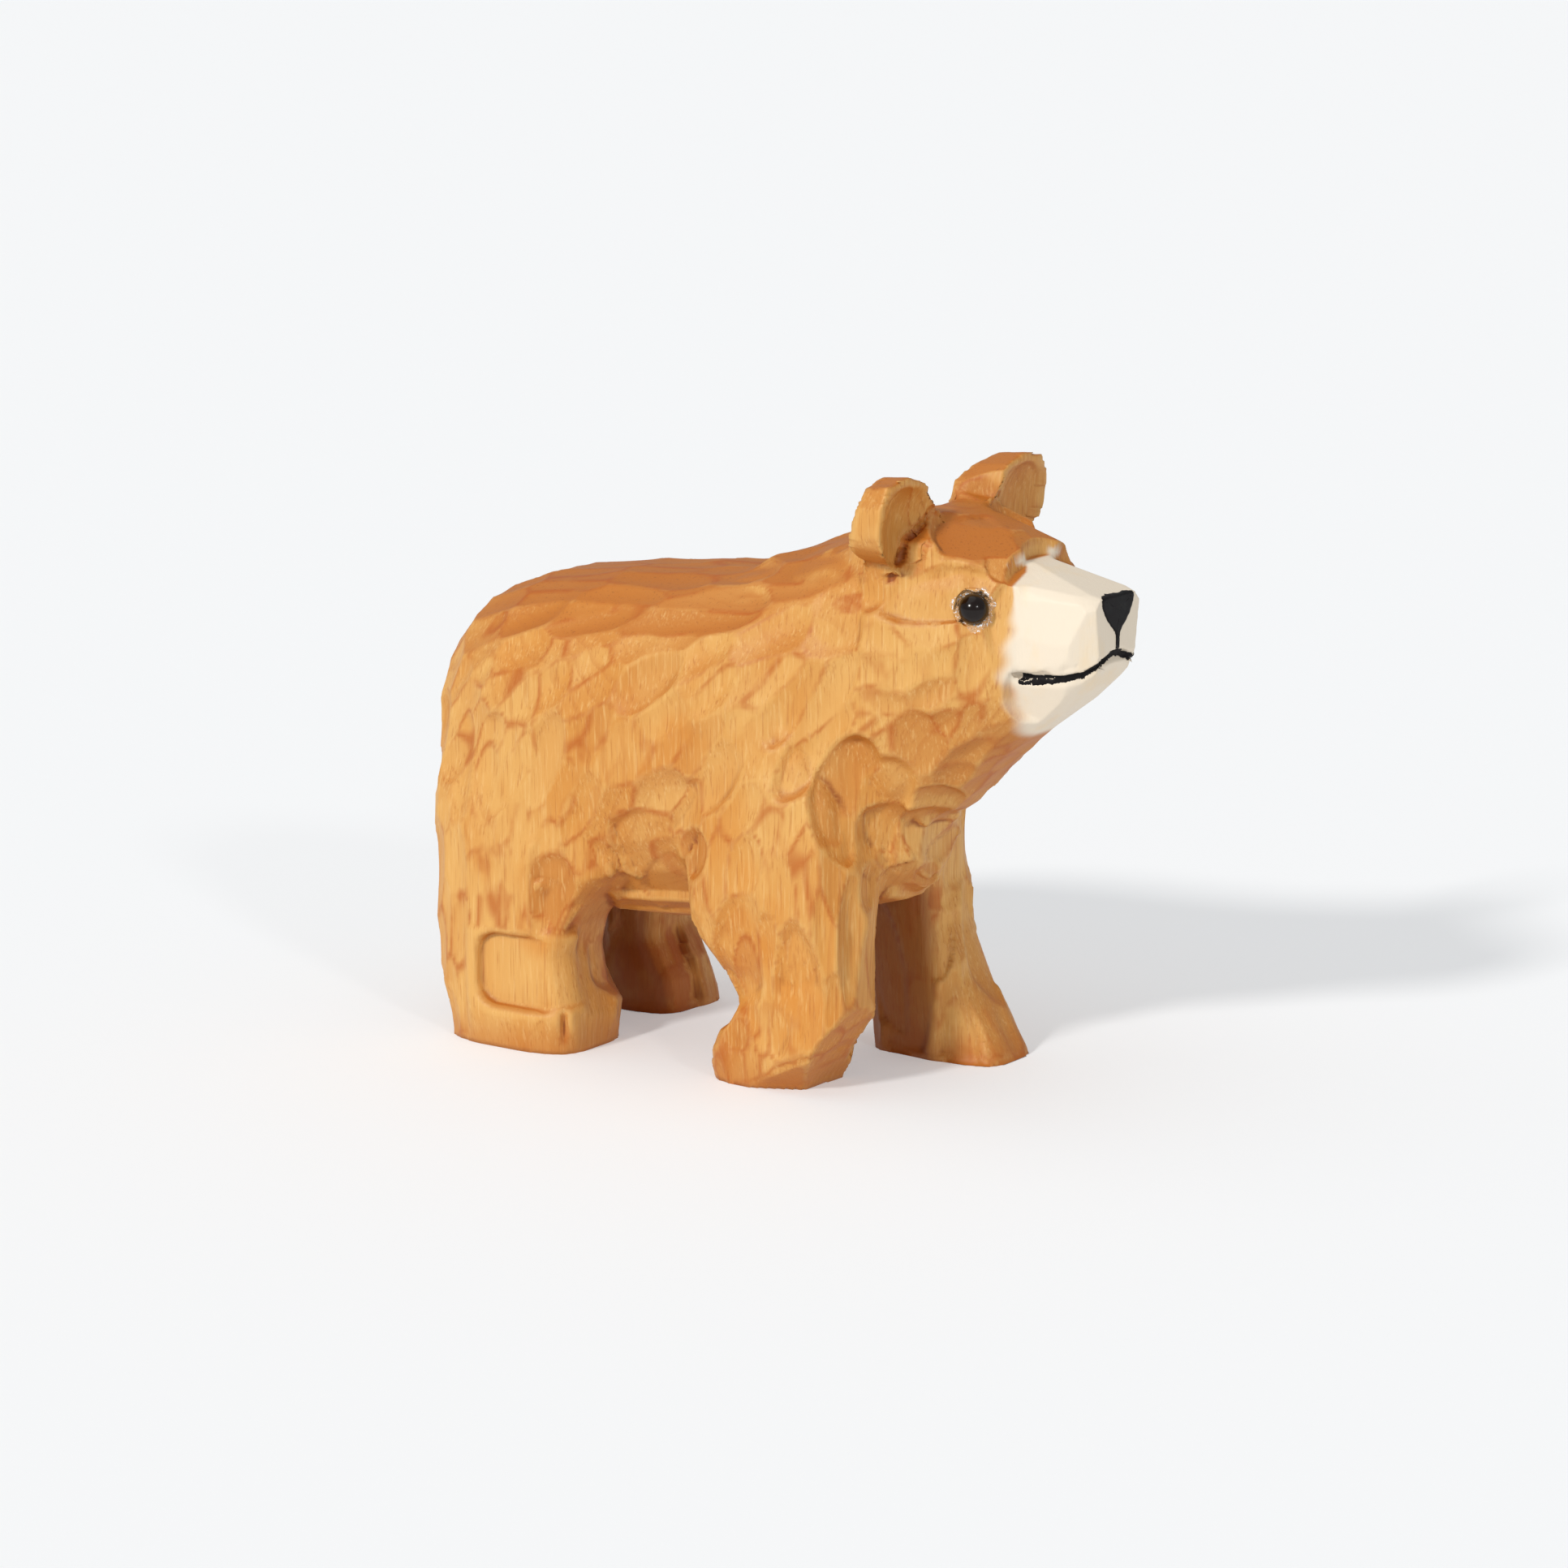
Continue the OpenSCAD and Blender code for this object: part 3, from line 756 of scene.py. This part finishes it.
def carved_wood():
    m = Nodes("carved_wood")
    split = m.add("ShaderNodeSeparateXYZ")
    m.link(m.add("ShaderNodeNewGeometry").outputs["Normal"], split.inputs[0])
    up = split.outputs["Z"]
    place = m.add("ShaderNodeSeparateXYZ")
    m.link(m.add("ShaderNodeTexCoord").outputs["Object"], place.inputs[0])
    height = place.outputs["Z"]
    grain_end = m.span(m.math("ABSOLUTE", up), 0.12, 0.95)

    honey = rgb(224, 164, 92)
    cream = rgb(234, 188, 126)
    blotch = m.noise((110, 110, 55), 4)
    base = m.mix(m.span(blotch, 0.36, 0.66), cream, honey)
    pooled = m.noise((75, 75, 60), 3)
    base = m.mix(m.span(pooled, 0.52, 0.70, 0, 0.6), base, rgb(220, 146, 58))
    tint = m.attribute("tint")
    base = m.mix(m.span(tint, 0.45, 1.0, 0, 0.75), base, rgb(204, 136, 66))
    base = m.mix(m.span(tint, 0.35, 0.0, 0, 0.5), base, rgb(236, 194, 136))
    base = m.mix(m.math("MULTIPLY", grain_end, 0.9), base, rgb(198, 122, 46))

    rings_at = m.add("ShaderNodeVectorMath", operation="DISTANCE")
    flat = m.add("ShaderNodeCombineXYZ")
    m.link(place.outputs["X"], flat.inputs[0])
    m.link(place.outputs["Y"], flat.inputs[1])
    m.link(flat.outputs[0], rings_at.inputs[0])
    rings_at.inputs[1].default_value = PITH
    wavy = m.math("ADD", rings_at.outputs["Value"], m.math("MULTIPLY", m.noise((60, 60, 25), 2), 0.0035))
    ring = m.math("FRACT", m.math("MULTIPLY", wavy, RINGS_PER_METRE))
    late = m.math("MULTIPLY", m.span(ring, 0.55, 0.9), m.span(ring, 1.0, 0.92))
    patchy = m.span(m.noise((120, 120, 90), 3), 0.4, 0.65, 0.05, 0.30)
    base = m.mix(m.math("MULTIPLY", late, patchy), base, rgb(196, 122, 54))

    fibre = m.noise((4200, 4200, 170), 3, 0.6)
    side_only = m.span(grain_end, 0.8, 0.2)
    base = m.mix(m.math("MULTIPLY", m.span(fibre, 0.53, 0.72, 0, 0.5), side_only), base, rgb(184, 110, 48))
    pale = m.noise((3600, 3600, 200), 3, 0.6)
    base = m.mix(m.math("MULTIPLY", m.span(pale, 0.50, 0.74, 0, 0.45), side_only), base, rgb(250, 218, 170))
    pores = m.noise((3800, 3800, 2600), 2, 0.5)
    base = m.mix(m.math("MULTIPLY", m.span(pores, 0.60, 0.72, 0, 0.45), grain_end), base, rgb(140, 76, 28))

    edge = m.attribute("edge")
    broken = m.span(m.noise((170, 170, 140), 3), 0.40, 0.56)
    base = m.mix(m.math("MULTIPLY", m.math("MULTIPLY", edge, broken), 0.75), base, rgb(190, 100, 26))
    # Painted shade darkens the hollows, and the ridges are made lighter.
    hollow = m.attribute("hollow")
    base = m.mix(m.span(hollow, 0.06, 0.24, 0, 0.75), base, rgb(150, 74, 20))
    base = m.mix(m.span(hollow, -0.04, -0.12, 0, 0.3), base, rgb(240, 200, 140))
    low = m.span(height, 0.004, 0.0, 0, 0.5)
    base = m.mix(low, base, rgb(190, 112, 44))

    base = m.mix(1.0, base, STAIN, "MULTIPLY")
    # Painted shade on the inner faces of the legs.
    base = m.mix(m.math("MULTIPLY", m.attribute("inner_leg_shade"), 0.75), base, rgb(128, 60, 12))

    show = m.span(m.noise((300, 300, 160), 4), 0.50, 0.72, 0, 0.35)
    white = m.mix(show, rgb(229, 215, 194), rgb(234, 204, 156))
    base = m.mix(m.attribute("wash"), base, white)
    m.link(base, m.shader.inputs["Base Color"])
    m.set("Roughness", 0.5)
    m.set("Specular IOR Level", 0.3)
    rough = m.noise((900, 900, 300), 3)
    grain = m.bump(fibre, 0.00005, 0.5)
    grain = m.bump(rough, 0.00012, 0.35, grain)
    m.link(grain, m.shader.inputs["Normal"])
    return m.material


body.data.materials.append(carved_wood())


# ---------------------------------------------------------------- paint, glue and eyes

def black_paint():
    m = Nodes("black_paint")
    streak = m.noise((500, 500, 900), 4)
    m.link(m.mix(m.span(streak, 0.4, 0.75), rgb(15, 13, 14), rgb(34, 30, 31)), m.shader.inputs["Base Color"])
    m.link(m.span(streak, 0.3, 0.7, 0.45, 0.62), m.shader.inputs["Roughness"])
    m.set("Specular IOR Level", 0.12)
    m.link(m.bump(streak, 0.0001, 0.4), m.shader.inputs["Normal"])
    return m.material


def black_glass():
    m = Nodes("black_glass")
    deep = m.noise((400, 400, 400), 2)
    m.link(m.mix(deep, (0.002, 0.001, 0.001, 1), (0.010, 0.003, 0.001, 1)), m.shader.inputs["Base Color"])
    m.link(m.span(m.noise((2500, 2500, 2500), 2), 0.3, 0.8, 0.16, 0.20), m.shader.inputs["Roughness"])
    m.set("Specular IOR Level", 0.32)
    return m.material


def clear_glue():
    m = Nodes("clear_glue")
    glint_speck = m.noise((3600, 3600, 3600), 2, 0.6)
    wet = m.mix(m.noise((500, 500, 200), 3), rgb(214, 150, 84), rgb(236, 190, 134))
    # White specks in the glue's colour are painted glints; the same pattern also bumps the surface.
    m.link(m.mix(m.span(glint_speck, 0.56, 0.62), wet, (1, 1, 1, 1)), m.shader.inputs["Base Color"])
    m.link(m.span(glint_speck, 0.4, 0.6, 0.10, 0.25), m.shader.inputs["Roughness"])
    m.set("Coat Weight", 1.0)
    m.set("Coat Roughness", 0.08)
    m.link(m.bump(glint_speck, 0.0004, 1.0), m.shader.inputs["Normal"])
    return m.material


def steel_wire():
    m = Nodes("steel_wire")
    drawn = m.noise((9000, 9000, 600), 2)
    m.link(m.mix(drawn, (0.35, 0.35, 0.36, 1), (0.55, 0.55, 0.56, 1)), m.shader.inputs["Base Color"])
    m.link(m.span(drawn, 0.3, 0.7, 0.28, 0.45), m.shader.inputs["Roughness"])
    m.set("Metallic", 1.0)
    return m.material


PAINT, GLASS, GLUE, WIRE = black_paint(), black_glass(), clear_glue(), steel_wire()
surface = BVHTree.FromPolygons([Vector(v) for v in bear.v], bear.faces)


def project(point, direction):
    """Where a line in mm meets the carving: (point, normal)."""
    hit, normal, _, _ = surface.ray_cast(Vector(point), Vector(direction).normalized())
    return hit, normal


def film(name, rings, lifts, replaced, material, closed=True):
    """A thin skin of paint or glue on the wood, from rings of (point, direction) rays and their heights."""
    verts, faces = [], []
    for ring, lift in zip(rings, lifts):
        for k, (point, direction) in enumerate(ring):
            hit, normal = project(point, direction)
            verts.append(list(hit + normal * (lift[k] if np.ndim(lift) else lift)))
    count = len(rings[0])
    for k in range(len(rings) - 1):
        for i in range(count if closed else count - 1):
            j = (i + 1) % count
            faces.append((k * count + i, (k + 1) * count + i, (k + 1) * count + j, k * count + j))
    obj = build_mesh(name, np.array(verts), faces)
    obj.data.materials.append(material)
    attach(obj, "root")
    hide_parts(*replaced)


def smooth_loop(points, per_side):
    """A closed Catmull-Rom curve through points, as an array."""
    p = np.array(points, dtype=float)
    t = np.linspace(0, 1, per_side, endpoint=False)[:, None]
    out = []
    for i in range(len(p)):
        a, b, c, d = p[i - 1], p[i], p[(i + 1) % len(p)], p[(i + 2) % len(p)]
        out.append(0.5 * (2 * b + (c - a) * t + (2 * a - 5 * b + 4 * c - d) * t ** 2
                          + (3 * b - a - 3 * c + d) * t ** 3))
    return np.concatenate(out)


NOSE_OUTLINE = [(-3.0, 52.0), (-2.5, 52.25), (0, 52.3), (2.5, 52.25), (3.0, 52.0), (2.95, 51.2), (2.1, 49.9),
                (0.9, 48.8), (0.35, 48.1), (0.22, 46.5), (-0.22, 46.5), (-0.35, 48.1), (-0.9, 48.8),
                (-2.1, 49.9), (-2.95, 51.2)]
outline = smooth_loop(NOSE_OUTLINE, 8)
outline = outline + rng.normal(0, 0.03, outline.shape)
middle = np.array([0, 50.6])
nose_steps = np.linspace(0.02, 1, 16)
nose_rings = [[((46, *(middle + (p - middle) * t)), (-1, 0, 0)) for p in outline] for t in nose_steps]
NOSE_LIFTS = [0.10] * 14 + [0.08, -0.05]
film("nose_paint_film", nose_rings, NOSE_LIFTS, ["nose_paint"], PAINT)

# The mouth's paint lies under the upper lip, thick at the corners and ragged along its lower edge.
MOUTH_RUN = np.array([(31.95, 5.95), (33.6, 5.5), (36.2, 4.9), (37.8, 4.5),
                      (38.5, 4.0), (39.2, 2.9), (39.6, 1.2)])
MOUTH_WIDTH = [1.25, 1.10, 0.80, 0.65, 0.75, 0.80, 0.80]
MOUTH_LIFTS = [0.04, 0.10, 0.10, 0.10, 0.10, 0.08, -0.04]
run = np.vstack([MOUTH_RUN * (1, -1), [(39.7, 0.0)], MOUTH_RUN[::-1]])
widths = np.array(MOUTH_WIDTH + [0.7] + MOUTH_WIDTH[::-1])
steps = np.linspace(0, len(run) - 1, 220)
run_x = np.interp(steps, range(len(run)), run[:, 0])
run_y = np.interp(steps, range(len(run)), run[:, 1])
width = np.interp(steps, range(len(run)), widths) + rng.normal(0, 0.05, len(steps))
lip = lip_height(run_x, run_y)
mouth_rings = []
for t in np.linspace(-0.04, 1, 7):
    ring = []
    for k in range(len(steps)):
        out = unit([run_x[k] - 34.5, run_y[k] * 1.6, 0])
        ring.append(((run_x[k] + 6 * out[0], run_y[k] + 6 * out[1], lip[k] - t * width[k]), -out))
    mouth_rings.append(ring)
film("mouth_paint_film", mouth_rings, MOUTH_LIFTS, ["mouth_paint"], PAINT, closed=False)

# The glue's inner edge lies under the bead, and its outer edge wanders about this far out, in mm.
GLUE_INNER = 1.35
GLUE_REACH = 2.15


def glue_ring(side_name):
    """Clear glue that has squeezed out around a bead and dried in small beads of its own."""
    centre, axis = EYES[side_name]
    centre, axis = np.array(centre) * MM_IN_METRE, np.array(axis)
    right = unit(np.cross(axis, [0, 0, 1]))
    up = np.cross(right, axis)
    count = 120
    turns = np.linspace(0, 2 * math.pi, count, endpoint=False)
    reach = GLUE_REACH + 0.25 * np.sin(3 * turns + 1) + 0.15 * np.sin(7 * turns) + rng.normal(0, 0.05, count)
    rings, lifts = [], []
    for t in np.linspace(0, 1, 14):
        ring = []
        for turn, radius in zip(turns, GLUE_INNER + (reach - GLUE_INNER) * t):
            outward = right * math.cos(turn) + up * math.sin(turn)
            ring.append((centre + axis * 5 + radius * outward, -axis))
        rings.append(ring)
        lifts.append(0.17 * (1 - t ** 2) + rng.normal(0, 0.045, count) * (1 - t) ** 0.5 - 0.03)
    film("glue_ring_" + side_name, rings, lifts, ["eye_glue_" + side_name], GLUE)


def glass_bead(side_name):
    """A smooth glass ball in the place of the drawn one."""
    centre, axis = EYES[side_name]
    bm = bmesh.new()
    place = Matrix.Translation(centre)
    bmesh.ops.create_uvsphere(bm, u_segments=48, v_segments=28, radius=EYE_R, matrix=place)
    for face in bm.faces:
        face.smooth = True
    bead = new_object("glass_bead_" + side_name, bm)
    bead.data.materials.append(GLASS)
    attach(bead, "root")
    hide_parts("eye_bead_" + side_name)


for side_name in EYES:
    glue_ring(side_name)
    glass_bead(side_name)
    wire = nodes["eye_wire_" + side_name].data
    wire.materials.clear()
    wire.materials.append(WIRE)
